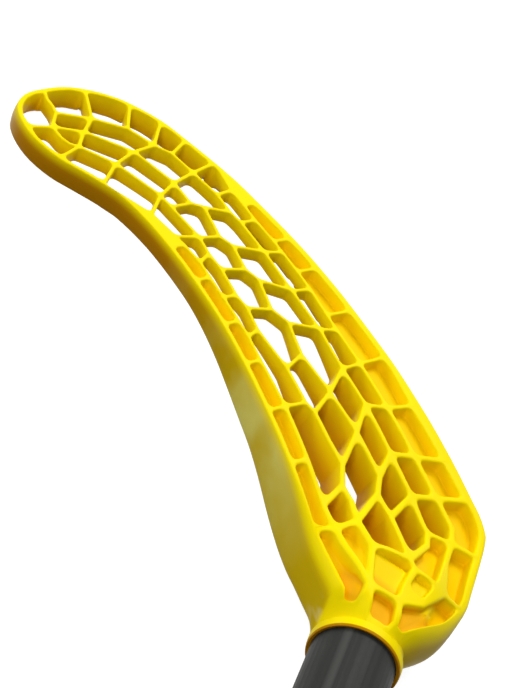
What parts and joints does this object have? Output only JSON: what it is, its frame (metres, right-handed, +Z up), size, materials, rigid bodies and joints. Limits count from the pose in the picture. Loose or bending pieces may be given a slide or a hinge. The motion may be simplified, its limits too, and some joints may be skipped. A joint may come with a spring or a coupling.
{
  "type": "floorball stick",
  "caption": "Floorball stick: a hooked lattice blade of yellow moulded plastic screwed onto a slim dark tubular shaft, with a sleeved grip and a round butt cap.",
  "frame": {"origin": "middle of the bottom of the bounding box, with the stick lying on the floor", "axes": "+X along the shaft from the butt to the blade, +Z up, out of the blade's bulging face"},
  "size_m": [1.132, 0.2182, 0.034],
  "materials": {
    "blade_plastic": "semi-gloss moulded, bright yellow",
    "shaft_composite": "satin dark grey, fibre composite",
    "cap_rubber": "matt black",
    "grip_foam": "soft matt, tacky skin",
    "tape": "smooth black",
    "screw_steel": "bright zinc"
  },
  "bodies": {
    "root": {"blade": "blade_plastic", "shaft": "shaft_composite", "butt_cap": "cap_rubber", "grip_band": "grip_foam", "grip_end_tape": "tape", "blade_screw_1": "screw_steel", "blade_screw_2": "screw_steel"}
  },
  "joints": []
}
